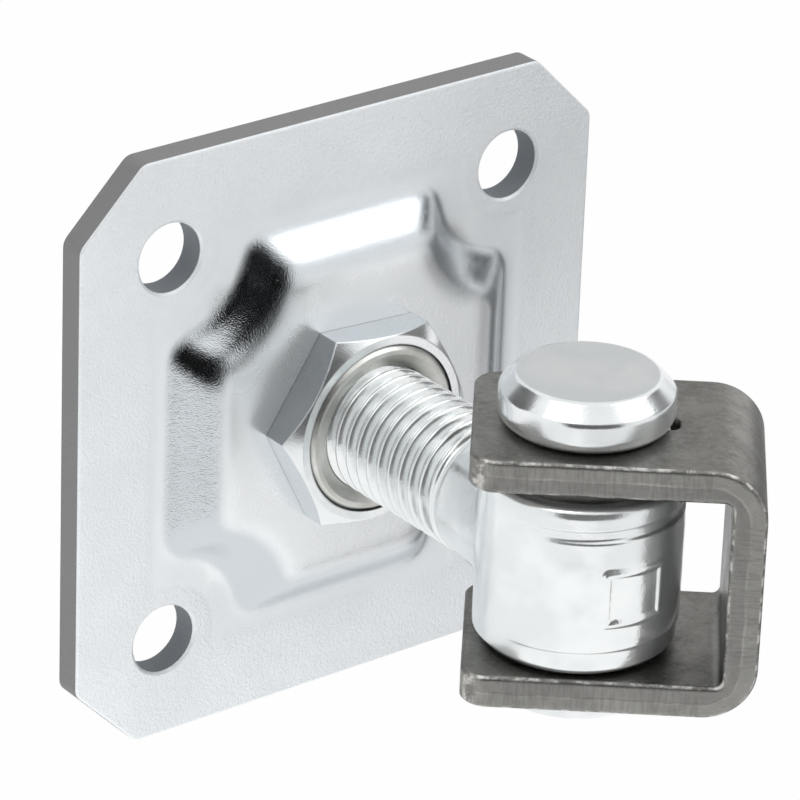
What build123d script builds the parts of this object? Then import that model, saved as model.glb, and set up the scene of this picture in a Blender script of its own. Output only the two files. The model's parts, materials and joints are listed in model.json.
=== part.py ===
"""Adjustable gate hinge with a pressed wall plate.

Millimetres. The plate's back face lies in the plane Y = 0 and the stud points along -Y.
The hinge pin is upright, along +Z. The origin is the centre of the four bolt holes, on the back face.
"""

from build123d import *
from math import cos, radians, sin, sqrt, tan
import os

os.makedirs("parts", exist_ok=True)

# Wall plate, pressed from one sheet
plate_size = 95.0
sheet = 4.5
corner_cut = 11.0
corner_cut_round = 2.5
plate_edge_round = 0.4
bolt_spacing = 63.0
bolt_hole_diameter = 11.0
bolt_hole_bevel = 0.4

# The pressed-up centre of the plate
emboss_size = 63.0
emboss_height = 5.3
emboss_slope = 44.0  # degrees from the plate's plane
bolt_seat_radius = 13.8  # flat left round each bolt hole
emboss_corner_round = 3.0
emboss_top_corner_round = 5.5
emboss_top_round = 6.5
emboss_foot_round = 2.0
hollow_corner_round = 2.0
hollow_top_round = 1.0
hollow_rim_round = 2.5

# Fits, as gaps on one side
running_gap = 0.05
seat_gap = 0.02

# Stud thread
thread_diameter = 20.0
thread_end_chamfer = 1.2

# Captive adjusting nut
nut_across_flats = 30.0
nut_height = 5.9
nut_turned = -3.4  # degrees, as it was left on the plate
nut_face_diameter = 29.6
nut_chamfer_angle = 37.0
nut_neck_diameter = 25.0
nut_neck_inset = 0.5  # from the plate's back face
nut_neck_chamfer = 0.5

# Ring sunk in the nut's face
ring_diameter = 26.5
ring_depth = 3.5
ring_side_gap = 0.25
ring_ridge_height = 0.3
ring_ridge_inside = 12.0  # radius
ring_ridge_outside = 12.7  # radius
ring_outer_drop = 0.3
ring_inner_drop = 0.5

# What holds the nut behind the plate
washer_diameter = 36.0
washer_thickness = 1.5
washer_chamfer = 0.2
circlip_thickness = 1.2
circlip_groove_depth = 0.55
circlip_width = 2.6
circlip_opening = 7.0
circlip_lug_diameter = 4.6
circlip_lug_hole = 2.0
circlip_lug_angle = 26.0  # degrees from the middle of the opening
circlip_lug_offset = 0.4  # of the lugs, outwards from the middle of the ring's width

# Eyebolt
eye_reach = 62.4  # from the plate's back face to the pin's axis
stud_inset = 1.5  # from the plate's back face to the stud's end
thread_runout = 42.0  # where the thread ends, from the plate's back face
neck_flare_radius = 40.0
neck_flare_run = 12.0
neck_foot_round = 1.5
eye_diameter = 30.0
eye_height = 26.6
eye_top_round = 1.5
eye_bottom_chamfer = 1.3
turning_offset = 0.6  # the bands are turned off-centre, so they fade towards the stud
lower_band = 4.05
lower_band_margin = 0.1  # of the band's own radius over the eye's
upper_band = 3.2
groove_width = 2.1
groove_margin = 0.05

# Plain pad raised on the eye
pad_width = 10.0
pad_height = 9.0
pad_rise = 0.45
pad_edge_round = 0.3
pad_angle = -97.0  # degrees about +Z from +X
pad_middle = -0.9

# Pin, bushes and washer in the eye
pin_diameter = 16.0
bush_wall = 1.5
bush_length = 12.0
thrust_washer_diameter = 25.0
thrust_washer_thickness = 2.1
lower_arm_gap = 0.6

# Pin head and its key
head_diameter = 25.6
head_height = 7.6
head_top_diameter = 20.8
head_bevel_height = 2.5
head_foot_round = 2.3
head_edge_round = 0.9
key_width = 4.0
key_reach = 12.0
key_depth = 2.5
key_slot_reach = 13.5
key_slot_gap = 0.1
key_slot_corner_round = 1.4

# Disc under the lower arm, on the riveted end of the pin
disc_diameter = 24.0
disc_thickness = 3.0
disc_edge_round = 0.8
rivet_flare = 1.2

# Gate bracket, bent from flat bar
bar_thickness = 5.0
bar_width = 30.0
arm_end = 16.2  # from the pin's axis to the free ends
web_inside = 21.2  # from the pin's axis to the web's inner face
arm_corner_round = 3.8
bend_outer_round = 8.0
bend_inner_round = 1.2
bar_edge_bevel = 0.4
gate_angle = -40.0  # direction from the pin to the web, about +Z from +X

# Worked out from the sizes above
emboss_front = sheet + emboss_height
slope_run = emboss_height / tan(radians(emboss_slope))
hollow_inset = sheet * tan(radians(emboss_slope / 2))
thread_radius = thread_diameter / 2
neck_radius = nut_neck_diameter / 2
nut_back = emboss_front + running_gap
nut_face = nut_back + nut_height
ring_floor = nut_face - ring_depth
ring_radius = ring_diameter / 2
washer_front = emboss_height - running_gap
washer_back = washer_front - washer_thickness
circlip_front = washer_back - running_gap
circlip_back = circlip_front - circlip_thickness
clip_radius = neck_radius - circlip_groove_depth
circlip_lug_reach = clip_radius + circlip_width / 2 + circlip_lug_offset
eye_radius = eye_diameter / 2
eye_top = eye_height / 2
neck_flare_rise = neck_flare_radius - sqrt(neck_flare_radius**2 - neck_flare_run**2)
pin_radius = pin_diameter / 2
bush_bore = pin_radius + running_gap
bush_radius = bush_bore + bush_wall
upper_arm_under = eye_top + thrust_washer_thickness + running_gap
upper_arm_top = upper_arm_under + bar_thickness
lower_arm_over = -eye_top - lower_arm_gap
lower_arm_under = lower_arm_over - bar_thickness
pin_end = lower_arm_under - disc_thickness
head_top = upper_arm_top + head_height
web_outside = web_inside + bar_thickness
gate_way = Vector(cos(radians(gate_angle)), sin(radians(gate_angle)), 0)
pad_way = Vector(cos(radians(pad_angle)), sin(radians(pad_angle)), 0)
pin_foot = Vector(0, -eye_reach, 0)

wall = Plane.XZ  # its normal is -Y, away from the wall
pin_axis = Axis(pin_foot, (0, 0, 1))
turned_foot = pin_foot + Vector(0, turning_offset, 0)
bracket_side = Plane(origin=pin_foot, x_dir=gate_way, z_dir=gate_way.cross(Vector(0, 0, 1)))
pin_side = Plane(origin=pin_foot, x_dir=(1, 0, 0), z_dir=(0, -1, 0))
stud_side = Plane(origin=(0, 0, 0), x_dir=(0, -1, 0), z_dir=(-1, 0, 0))
pad_side = Plane(origin=pin_foot, x_dir=Vector(0, 0, 1).cross(pad_way), z_dir=pad_way)


def off_wall(depth):
    """Plane across the stud at a distance in front of the plate's back face."""
    return wall.offset(depth)


def across_pin(height, foot=pin_foot):
    """Plane across the pin at a height, with x towards the gate."""
    return Plane(origin=foot + Vector(0, 0, height), x_dir=gate_way, z_dir=(0, 0, 1))


def finish(piece, label):
    """Name a finished piece and write it to its own file."""
    piece.part.label = label
    export_step(piece.part, f"parts/{label}.step")


# The pressed-up form: a square with a bite at each bolt hole, both sloped alike.
def pressed_outline(depth, inset, corner_round):
    """Outline of the form on the plane at depth, drawn smaller by inset."""
    with BuildSketch(off_wall(depth)) as outline:
        Rectangle(emboss_size - 2 * inset, emboss_size - 2 * inset)
        with PolarLocations(bolt_spacing / sqrt(2), 4, 45):
            Circle(bolt_seat_radius + inset, mode=Mode.SUBTRACT)
        fillet(outline.vertices(), corner_round)
    return outline.sketch


def pressed_form(back, inset, top_corner_round, top_round):
    """Raised form in front of the plane at back, with its top edge rounded."""
    foot = pressed_outline(back, inset, emboss_corner_round)
    top = pressed_outline(back + emboss_height, inset + slope_run, top_corner_round)
    with BuildPart() as form:
        add([foot, top])
        loft(ruled=True)
        fillet(form.faces().sort_by(Axis.Y)[0].edges(), top_round)
    return form.part


with BuildPart() as wall_plate:
    with BuildSketch(wall) as outline:
        Rectangle(plate_size, plate_size)
        chamfer(outline.vertices(), corner_cut)
        fillet(outline.vertices(), corner_cut_round)
        with GridLocations(bolt_spacing, bolt_spacing, 2, 2):
            Circle(bolt_hole_diameter / 2, mode=Mode.SUBTRACT)
    extrude(amount=sheet)
    blank_front = wall_plate.faces().sort_by(Axis.Y)[0]
    fillet(blank_front.outer_wire().edges(), plate_edge_round)
    hole_rims = wall_plate.faces().sort_by(Axis.Y)[0].inner_wires()
    chamfer([rim.edge() for rim in hole_rims], bolt_hole_bevel)
    add(pressed_form(sheet, 0, emboss_top_corner_round, emboss_top_round))
    front_face = wall_plate.faces().filter_by(Axis.Y).sort_by(Axis.Y)[1]
    fillet(front_face.inner_wires().sort_by(SortBy.LENGTH)[-1].edges(), emboss_foot_round)
    add(pressed_form(0, hollow_inset, hollow_corner_round, hollow_top_round), mode=Mode.SUBTRACT)
    back_face = wall_plate.faces().sort_by(Axis.Y)[-1]
    fillet(back_face.inner_wires().sort_by(SortBy.LENGTH)[-1].edges(), hollow_rim_round)
    with BuildSketch(wall):
        Circle(neck_radius + running_gap)
    extrude(amount=emboss_front, mode=Mode.SUBTRACT)
finish(wall_plate, "wall_plate")


# The nut: a hexagon in front of the plate, a neck through it and a groove for the circlip.
with BuildPart() as hexagon:
    with BuildSketch(off_wall(nut_back)):
        RegularPolygon(nut_across_flats / 2, 6, major_radius=False, rotation=nut_turned)
    extrude(amount=nut_height)

with BuildPart() as nut_envelope:
    with BuildSketch(off_wall(nut_face)):
        Circle(nut_face_diameter / 2)
    extrude(amount=-nut_height, taper=nut_chamfer_angle - 90)

with BuildPart() as adjusting_nut:
    add(hexagon.part)
    add(nut_envelope.part, mode=Mode.INTERSECT)
    with BuildSketch(off_wall(nut_neck_inset)):
        Circle(neck_radius)
    extrude(amount=nut_back - nut_neck_inset)
    with BuildSketch(off_wall(ring_floor)):
        Circle(ring_radius + ring_side_gap)
    extrude(amount=ring_depth, mode=Mode.SUBTRACT)
    with BuildSketch(off_wall(circlip_back)):
        Circle(neck_radius)
        Circle(clip_radius, mode=Mode.SUBTRACT)
    extrude(amount=circlip_thickness, mode=Mode.SUBTRACT)
    with BuildSketch(wall):
        Circle(thread_radius + running_gap)
    extrude(amount=nut_face, mode=Mode.SUBTRACT)
    neck_end = adjusting_nut.faces().filter_by(Axis.Y).sort_by(Axis.Y)[-1]
    chamfer(neck_end.edges(), nut_neck_chamfer)
finish(adjusting_nut, "adjusting_nut")


with BuildPart() as nut_ring:
    with BuildSketch(Plane.YZ):
        with BuildLine():
            Polyline(
                (-ring_floor, thread_radius + 2 * running_gap),
                (-ring_floor, ring_radius),
                (ring_outer_drop - nut_face, ring_radius),
                (-nut_face - ring_ridge_height, ring_ridge_outside),
                (-nut_face - ring_ridge_height, ring_ridge_inside),
                (ring_inner_drop - nut_face, thread_radius + 2 * running_gap),
                close=True,
            )
        make_face()
    revolve(axis=Axis.Y)
finish(nut_ring, "nut_ring")


with BuildPart() as nut_washer:
    with BuildSketch(off_wall(washer_back)):
        Circle(washer_diameter / 2)
        Circle(neck_radius + running_gap, mode=Mode.SUBTRACT)
    extrude(amount=washer_thickness)
    chamfer(nut_washer.edges().filter_by(GeomType.CIRCLE).group_by(SortBy.RADIUS)[-1], washer_chamfer)
finish(nut_washer, "nut_washer")


with BuildPart() as nut_circlip:
    lug_start = -90 - circlip_lug_angle
    with BuildSketch(off_wall(circlip_back)):
        Circle(clip_radius + circlip_width)
        with PolarLocations(circlip_lug_reach, 2, lug_start, 2 * circlip_lug_angle, endpoint=True):
            Circle(circlip_lug_diameter / 2)
        Circle(clip_radius, mode=Mode.SUBTRACT)
        with Locations((0, -clip_radius)):
            Rectangle(circlip_opening, 2 * clip_radius, mode=Mode.SUBTRACT)
        with PolarLocations(circlip_lug_reach, 2, lug_start, 2 * circlip_lug_angle, endpoint=True):
            Circle(circlip_lug_hole / 2, mode=Mode.SUBTRACT)
    extrude(amount=circlip_thickness)
finish(nut_circlip, "nut_circlip")


# The eye: a groove and a lower band are turned off-centre, so they fade towards the stud.
with BuildPart() as eye_pad:
    with BuildSketch(across_pin(pad_middle - pad_height / 2)):
        Circle(eye_radius + pad_rise)
        Circle(eye_radius - bush_wall, mode=Mode.SUBTRACT)
    extrude(amount=pad_height)
    with BuildSketch(pad_side):
        with Locations((0, pad_middle)):
            Rectangle(pad_width, pad_height)
    extrude(amount=eye_diameter, mode=Mode.INTERSECT)
    fillet(eye_pad.faces().sort_by_distance(pin_foot + pad_way * eye_diameter)[0].edges(), pad_edge_round)

with BuildPart() as eyebolt:
    with BuildSketch(across_pin(-eye_top)):
        Circle(eye_radius)
    extrude(amount=eye_height)
    fillet(eyebolt.faces().sort_by(Axis.Z)[-1].edges(), eye_top_round)
    chamfer(eyebolt.faces().sort_by(Axis.Z)[0].edges(), eye_bottom_chamfer)
    for low_edge, height, margin in (
        (-eye_top, lower_band, lower_band_margin),
        (eye_top - upper_band - groove_width, groove_width, groove_margin),
    ):
        with BuildSketch(across_pin(low_edge, turned_foot)):
            Circle(eye_diameter)
            Circle(eye_radius + margin, mode=Mode.SUBTRACT)
        extrude(amount=height, mode=Mode.SUBTRACT)
    with BuildSketch(stud_side):
        with BuildLine():
            flare_foot = (thread_runout + neck_flare_run, thread_radius + neck_flare_rise)
            Polyline(
                flare_foot,
                (eye_reach, flare_foot[1]),
                (eye_reach, 0),
                (stud_inset, 0),
                (stud_inset, thread_radius),
                (thread_runout, thread_radius),
            )
            RadiusArc((thread_runout, thread_radius), flare_foot, -neck_flare_radius)
        make_face()
    revolve(axis=Axis.Y)
    neck_foot = eyebolt.edges(Select.LAST).filter_by(GeomType.BSPLINE)
    fillet(neck_foot, neck_foot_round)
    add(eye_pad.part)
    with BuildSketch(across_pin(-eye_top)):
        Circle(bush_radius + seat_gap)
    extrude(amount=eye_height, mode=Mode.SUBTRACT)
    chamfer(eyebolt.faces().filter_by(Axis.Y).sort_by(Axis.Y)[-1].edges(), thread_end_chamfer)
finish(eyebolt, "eyebolt")


with BuildPart() as upper_bush:
    with BuildSketch(across_pin(eye_top - bush_length)):
        Circle(bush_radius)
        Circle(bush_bore, mode=Mode.SUBTRACT)
    extrude(amount=bush_length)
finish(upper_bush, "upper_bush")


with BuildPart() as lower_bush:
    with BuildSketch(across_pin(-eye_top)):
        Circle(bush_radius)
        Circle(bush_bore, mode=Mode.SUBTRACT)
    extrude(amount=bush_length)
finish(lower_bush, "lower_bush")


with BuildPart() as thrust_washer:
    with BuildSketch(across_pin(eye_top)):
        Circle(thrust_washer_diameter / 2)
        Circle(bush_bore, mode=Mode.SUBTRACT)
    extrude(amount=thrust_washer_thickness)
finish(thrust_washer, "thrust_washer")


# The bracket: one bar bent twice, with its free ends cut round and a keyed hole for the pin.
with BuildPart() as gate_bracket:
    with BuildSketch(bracket_side):
        with BuildLine():
            FilletPolyline(
                (-arm_end, upper_arm_top),
                (web_outside, upper_arm_top),
                (web_outside, lower_arm_under),
                (-arm_end, lower_arm_under),
                radius=bend_outer_round,
            )
            FilletPolyline(
                (-arm_end, lower_arm_over),
                (web_inside, lower_arm_over),
                (web_inside, upper_arm_under),
                (-arm_end, upper_arm_under),
                radius=bend_inner_round,
            )
            Line((-arm_end, lower_arm_under), (-arm_end, lower_arm_over))
            Line((-arm_end, upper_arm_under), (-arm_end, upper_arm_top))
        make_face()
    extrude(amount=bar_width / 2, both=True)
    free_corners = gate_bracket.edges().filter_by(Axis.Z).filter_by(
        lambda edge: (edge.center() - pin_foot).dot(gate_way) < 0)
    fillet(free_corners, arm_corner_round)
    bar_sides = gate_bracket.faces().filter_by(bracket_side)
    chamfer(bar_sides.edges(), bar_edge_bevel)
    with BuildSketch(across_pin(lower_arm_under)):
        Circle(pin_radius + seat_gap)
    extrude(amount=upper_arm_top - lower_arm_under, mode=Mode.SUBTRACT)
    with BuildSketch(across_pin(upper_arm_under)) as key_slot:
        Rectangle(key_slot_reach, key_width + 2 * key_slot_gap, align=(Align.MIN, Align.CENTER))
        fillet(key_slot.vertices().group_by(Axis.X)[-1], key_slot_corner_round)
    extrude(amount=bar_thickness, mode=Mode.SUBTRACT)
finish(gate_bracket, "gate_bracket")


# The pin: a headed shank with a key under the head and a lower end riveted over the disc.
with BuildPart() as hinge_pin:
    with BuildSketch(pin_side) as pin_half:
        with BuildLine():
            Polyline(
                (0, pin_end),
                (pin_radius + rivet_flare, pin_end),
                (pin_radius, pin_end + rivet_flare),
                (pin_radius, upper_arm_top),
                (head_diameter / 2, upper_arm_top),
                (head_diameter / 2, head_top - head_bevel_height),
                (head_top_diameter / 2, head_top),
                (0, head_top),
                close=True,
            )
        make_face()
        fillet(pin_half.vertices().group_by(Axis.X)[-1].sort_by(Axis.Y)[0], head_foot_round)
        fillet(pin_half.vertices().group_by(Axis.X)[-1].sort_by(Axis.Y)[-1], head_edge_round)
        fillet(pin_half.vertices().group_by(Axis.Y)[-1].sort_by(Axis.X)[-1], head_edge_round)
    revolve(axis=pin_axis)
    with BuildSketch(across_pin(upper_arm_top)):
        Rectangle(key_reach, key_width, align=(Align.MIN, Align.CENTER))
    extrude(amount=-key_depth)
finish(hinge_pin, "hinge_pin")


with BuildPart() as retaining_disc:
    with BuildSketch(pin_side) as disc_half:
        with BuildLine():
            Polyline(
                (pin_radius + seat_gap, lower_arm_under),
                (disc_diameter / 2, lower_arm_under),
                (disc_diameter / 2, pin_end),
                (pin_radius + rivet_flare + seat_gap, pin_end),
                (pin_radius + seat_gap, pin_end + rivet_flare),
                close=True,
            )
        make_face()
        fillet(disc_half.vertices().group_by(Axis.X)[-1].sort_by(Axis.Y)[0], disc_edge_round)
    revolve(axis=pin_axis)
finish(retaining_disc, "retaining_disc")
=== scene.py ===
# %% [markdown]
# # An adjustable gate hinge in zinc and raw steel
#
# The hinge has a pressed wall plate, a captive nut that moves an eyebolt in and out, and a
# bracket that turns on a pin and is welded to the gate. Its measured parts are loaded as a
# fixed frame, so nothing here moves or resizes them. This lesson adds what they lack: a real
# thread, soft forged transitions and the finishes of the metals.

# %% Load the measured parts
import bpy
import json
import numpy as np
from mathutils import Matrix, Vector

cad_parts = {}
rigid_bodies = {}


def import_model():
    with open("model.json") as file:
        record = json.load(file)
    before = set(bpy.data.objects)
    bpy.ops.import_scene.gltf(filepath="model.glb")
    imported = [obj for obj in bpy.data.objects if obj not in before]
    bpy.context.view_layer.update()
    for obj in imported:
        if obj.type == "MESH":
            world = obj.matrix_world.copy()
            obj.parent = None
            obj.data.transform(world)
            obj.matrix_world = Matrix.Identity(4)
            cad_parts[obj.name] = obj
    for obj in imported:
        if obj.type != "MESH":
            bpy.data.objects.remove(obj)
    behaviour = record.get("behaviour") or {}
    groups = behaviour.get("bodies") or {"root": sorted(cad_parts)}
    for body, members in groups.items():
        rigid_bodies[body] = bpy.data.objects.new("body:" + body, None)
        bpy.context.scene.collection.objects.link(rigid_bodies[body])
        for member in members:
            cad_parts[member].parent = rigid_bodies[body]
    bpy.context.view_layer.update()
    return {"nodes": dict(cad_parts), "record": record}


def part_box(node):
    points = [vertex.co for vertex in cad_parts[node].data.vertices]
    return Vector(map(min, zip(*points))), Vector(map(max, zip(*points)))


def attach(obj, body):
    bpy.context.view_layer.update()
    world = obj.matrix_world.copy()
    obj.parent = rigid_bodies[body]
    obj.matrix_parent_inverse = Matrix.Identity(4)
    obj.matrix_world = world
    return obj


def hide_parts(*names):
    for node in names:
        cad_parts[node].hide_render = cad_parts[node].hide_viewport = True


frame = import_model()
mm = 0.001
print("measured parts:", ", ".join(sorted(frame["nodes"])))

# %% [markdown]
# ## A mesh from rings of points
#
# Turned and forged pieces are closed rings carried along a line, so one helper is enough for
# the new pieces. It takes an array of rings, joins each ring to the next with four-sided
# faces, and closes the ends with a point or by joining the last ring to the first. The
# signed volume of the result tells which way the faces point, and a second helper turns them
# round if they point inwards. A small cube tries both before they are used.


# %% Build a closed shell from rings
def shell(rings, first_pole=None, last_pole=None, joined=False):
    """Points and faces of a surface through rings of points, an array of rings x columns x 3."""
    count, columns = rings.shape[:2]
    index = np.arange(count * columns).reshape(count, columns)
    start = index if joined else index[:-1]
    ahead = np.roll(index, -1, axis=0) if joined else index[1:]
    quads = np.stack([start, ahead, np.roll(ahead, -1, axis=1), np.roll(start, -1, axis=1)], axis=-1)
    points = rings.reshape(-1, 3)
    faces = quads.reshape(-1, 4).tolist()
    for pole, ring, turned in ((first_pole, index[0], False), (last_pole, index[-1], True)):
        if pole is not None:
            tip = np.full(columns, len(points))
            fan = np.stack([tip, ring, np.roll(ring, -1)], axis=-1)
            faces += (fan[:, ::-1] if turned else fan).tolist()
            points = np.vstack([points, pole])
    return points, faces


base_corners = np.array([[-0.5, -0.5], [0.5, -0.5], [0.5, 0.5], [-0.5, 0.5]])
cube_rings = np.stack([np.column_stack([base_corners, np.full(4, height)]) for height in (0.0, 1.0)])
cube = shell(cube_rings, first_pole=np.array([[0, 0, 0]]), last_pole=np.array([[0, 0, 1]]))
print("a cube made of rings:", len(cube[0]), "points,", len(cube[1]), "faces")


# %% Join closed shells into one smooth piece
def signed_volume(points, faces):
    """Sum of the pyramids from the origin to every triangle; negative when faces point inwards."""
    fans = np.array([(face[0], face[i], face[i + 1]) for face in faces for i in range(1, len(face) - 1)])
    a, b, c = points[fans[:, 0]], points[fans[:, 1]], points[fans[:, 2]]
    return float(np.einsum("ij,ij->i", a, np.cross(b, c)).sum() / 6)


def piece_from_shells(name, shells):
    """One smooth object out of several closed shells, with its place in its mesh."""
    all_points, all_faces, offset = [], [], 0
    for points, faces in shells:
        if signed_volume(points, faces) < 0:
            faces = [face[::-1] for face in faces]
        all_faces += [[corner + offset for corner in face] for face in faces]
        all_points.append(points)
        offset += len(points)
    mesh = bpy.data.meshes.new(name)
    mesh.from_pydata(np.vstack(all_points).tolist(), [], all_faces)
    mesh.shade_smooth()
    piece = bpy.data.objects.new(name, mesh)
    bpy.context.collection.objects.link(piece)
    print(f"{name}: {len(mesh.vertices)} points, {len(mesh.polygons)} faces")
    return piece


print(f"the cube's volume: {abs(signed_volume(*cube)):.2f}")

# %% [markdown]
# ## Where the eyebolt lies
#
# The eyebolt's own solid is plain, so its place and size are read from it: the pin's axis
# from the pin, the eye's radius and height from the box of the bolt, and the far end of the
# stud from the same box. Distances along the stud are measured from the wall, along -Y.

# %% Read the eyebolt from the frame
bolt_low, bolt_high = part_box("eyebolt")
pin_low, pin_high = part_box("hinge_pin")
bush_low, bush_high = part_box("upper_bush")
eye_x = (pin_low.x + pin_high.x) / 2
eye_y = (bush_low.y + bush_high.y) / 2
eye_reach = -eye_y
eye_radius = (bolt_high.x - bolt_low.x) / 2
eye_top = bolt_high.z
eye_bore = (bush_high.x - bush_low.x) / 2 + 0.02 * mm
stud_end = -bolt_high.y
print(f"pin axis {eye_reach / mm:.1f} mm from the wall, eye radius {eye_radius / mm:.1f} mm")

# %% [markdown]
# ## The stud's thread
#
# The stud carries an M20 thread with a pitch of 2.5 mm. A screw modifier could turn a
# profile, but a formula gives the run-out and the chamfer as well: the radius is a wave of
# the distance along the stud less one pitch per turn, so the ridge climbs as a right-hand
# helix. The wave is a flat crest, a straight flank and a round root, and it fades out where
# the thread stops before the neck.

# %% Sizes of the thread
thread_radius = 10.0 * mm
thread_pitch = 2.5 * mm
thread_depth = 1.28 * mm
thread_runout = 42.0 * mm
runout_length = 3.4 * mm
end_chamfer = 1.2 * mm
root_share = 0.20
crest_share = 0.86
soft_share = 0.45
samples_per_pitch = 20
columns = 160
turn = np.linspace(0, 2 * np.pi, columns, endpoint=False)
print(f"thread: {2 * thread_radius / mm:.0f} mm, a ridge every {thread_pitch / mm:.1f} mm")


# %% Radius of the threaded stud
def smooth_step(value):
    """0 below 0, 1 above 1, and 3v^2 - 2v^3 between."""
    value = np.clip(value, 0, 1)
    return value * value * (3 - 2 * value)


def thread_at(along, angle):
    """Crest radius less the depth of the groove, a wave of along / pitch - angle / full turn."""
    phase = along / thread_pitch - angle / (2 * np.pi)
    to_crest = 1 - 2 * np.abs(phase - np.floor(phase) - 0.5)
    flank = (to_crest - root_share) / (crest_share - root_share)
    rise = (1 - soft_share) * np.clip(flank, 0, 1) + soft_share * smooth_step(flank)
    fade = smooth_step((thread_runout - along) / runout_length)
    cut = thread_radius - thread_depth * (1 - rise) * fade
    return np.minimum(cut, thread_radius - np.maximum(0, end_chamfer - (along - stud_end)))


thread_rows = int((thread_runout - stud_end) / thread_pitch * samples_per_pitch)
along = np.linspace(stud_end, thread_runout, thread_rows)[:, None]
thread_r = thread_at(along, turn[None, :])
print(f"{(thread_runout - stud_end) / thread_pitch:.1f} turns of thread in {thread_rows} rings")

# %% [markdown]
# ## The neck and its blend into the eye
#
# Behind the thread the forging swells in a shallow arc and runs into the round eye. Where a
# swelling neck meets an upright cylinder, the edge between them is a saddle-shaped curve,
# and a real forging has a fillet there. A boolean and a bevel would leave a rough seam, so
# the fillet is worked out as the path of a rolling ball: for each angle round the neck, the
# ball's centre lies one ball radius off the arc and one ball radius off the eye, which a few
# rounds of substitution find for all angles at once.

# %% Roll a ball between neck and eye
flare_radius = 40.0 * mm
fillet_radius = 1.5 * mm
arc_r = thread_radius + flare_radius  # the arc's centre, out from the stud's axis


def flare_at(along):
    """Radius of the neck: a concave arc that starts where the thread ends."""
    return arc_r - np.sqrt(flare_radius**2 - (along - thread_runout) ** 2)


ball_along = np.full(columns, eye_reach - eye_radius - fillet_radius)
for _ in range(40):
    ball_r = arc_r - np.sqrt((flare_radius - fillet_radius) ** 2 - (ball_along - thread_runout) ** 2)
    ball_x = ball_r * np.cos(turn)
    ball_along = eye_reach - np.sqrt((eye_radius + fillet_radius) ** 2 - ball_x**2)
ball = np.stack([ball_x, -ball_along, ball_r * np.sin(turn)], axis=-1)

touch_scale = flare_radius / (flare_radius - fillet_radius)
touch_along = thread_runout + (ball_along - thread_runout) * touch_scale
touch_r = arc_r - (arc_r - ball_r) * touch_scale
touch = np.stack([touch_r * np.cos(turn), -touch_along, touch_r * np.sin(turn)], axis=-1)
pin_axis_at = np.stack([np.zeros(columns), np.full(columns, eye_y), ball[:, 2]], axis=-1)
to_eye = pin_axis_at - ball
to_eye /= np.linalg.norm(to_eye, axis=-1, keepdims=True)
to_neck = (touch - ball) / fillet_radius
touch_low, touch_high = touch_along.min() / mm, touch_along.max() / mm
print(f"the neck meets the eye {touch_low:.1f} to {touch_high:.1f} mm from the wall")

# %% [markdown]
# The rings of the stud now follow each other: the flat end, the thread, the arc of the neck,
# the fillet, and one ring just under the eye's skin, which hides the joint. A last point
# inside the metal closes the shell.

# %% Rings of the stud
fillet_overrun = 0.8
skin_depth = 0.06 * mm
buried_depth = 0.8 * mm
end_face_shares = np.array([[0.4], [0.985]])
flare_rows = np.linspace(0, 1, 26)[1:, None]
flare_along = thread_runout + (touch_along - thread_runout)[None, :] * flare_rows
flare_r = flare_at(flare_along)


def around(along, radius):
    """Points round the stud's axis at a distance along it and a radius, both rings x columns."""
    along, radius = np.broadcast_arrays(along, radius)
    return np.stack([radius * np.cos(turn), -along, radius * np.sin(turn)], axis=-1)


bend = np.arccos(np.clip((to_neck * to_eye).sum(-1), -1, 1))[None, :, None]
share = np.linspace(0, 1, 10)[1:, None, None]
swing = (np.sin((1 - share) * bend) * to_neck + np.sin(share * bend) * to_eye) / np.sin(bend)
fillet = ball[None] + fillet_radius * swing
under_skin = fillet[-1:] + (fillet[-1:] - fillet[-2:-1]) * fillet_overrun + skin_depth * to_eye[None]
buried = under_skin + buried_depth * to_eye[None]
end_face = around(np.full((2, 1), stud_end), thread_r[:1] * end_face_shares)
stud_rings = np.vstack([
    end_face, around(along, thread_r), around(flare_along, flare_r), fillet, under_skin, buried,
])
stud_shell = shell(
    stud_rings,
    first_pole=np.array([[0, -stud_end, 0]]),
    last_pole=np.array([[0, eye_y + 0.8 * eye_radius, 0]]),
)
print(f"stud rings: {len(stud_rings)}")

# %% [markdown]
# ## The eye
#
# The eye is forged round and then faced and grooved in a lathe, slightly off-centre, so the
# groove and the lower step fade out towards the stud. Its skin is one closed grid: a profile
# of height and radius carried round the pin's axis. The off-centre cuts lower the radius to
# the smaller of two circles, and the plain raised frame on its front adds to it again.

# %% Profile of the eye
top_round = 1.5 * mm
foot_chamfer = 1.3 * mm
cut_offset = 0.6 * mm
lower_cut = (-eye_top - 1 * mm, -9.25 * mm, eye_radius + 0.1 * mm)
groove_cut = (8.0 * mm, 10.1 * mm, eye_radius + 0.05 * mm)
step_softness = 0.45 * mm


def line(start, end, count):
    """Points from start to end, both radius and height, without the end."""
    share = np.linspace(0, 1, count, endpoint=False)[:, None]
    return np.array(start) * (1 - share) + np.array(end) * share


edge = 0.15 * mm
arc = np.linspace(0, np.pi / 2, 12, endpoint=False)[:, None]
rounding = np.hstack([np.cos(arc), np.sin(arc)]) * top_round + [eye_radius - top_round, eye_top - top_round]
wall_top = eye_top - top_round
profile = np.vstack([
    line((eye_bore, eye_top - edge), (eye_bore, -eye_top + edge), 8),
    line((eye_bore, -eye_top + edge), (eye_bore + edge, -eye_top), 1),
    line((eye_bore + edge, -eye_top), (eye_radius - foot_chamfer, -eye_top), 5),
    line((eye_radius - foot_chamfer, -eye_top), (eye_radius, -eye_top + foot_chamfer), 8),
    line((eye_radius, -eye_top + foot_chamfer), (eye_radius, wall_top), 130),
    rounding,
    line((eye_radius - top_round, eye_top), (eye_bore + edge, eye_top), 5),
    line((eye_bore + edge, eye_top), (eye_bore, eye_top - edge), 1),
])
print(f"eye profile: {len(profile)} points")

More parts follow.
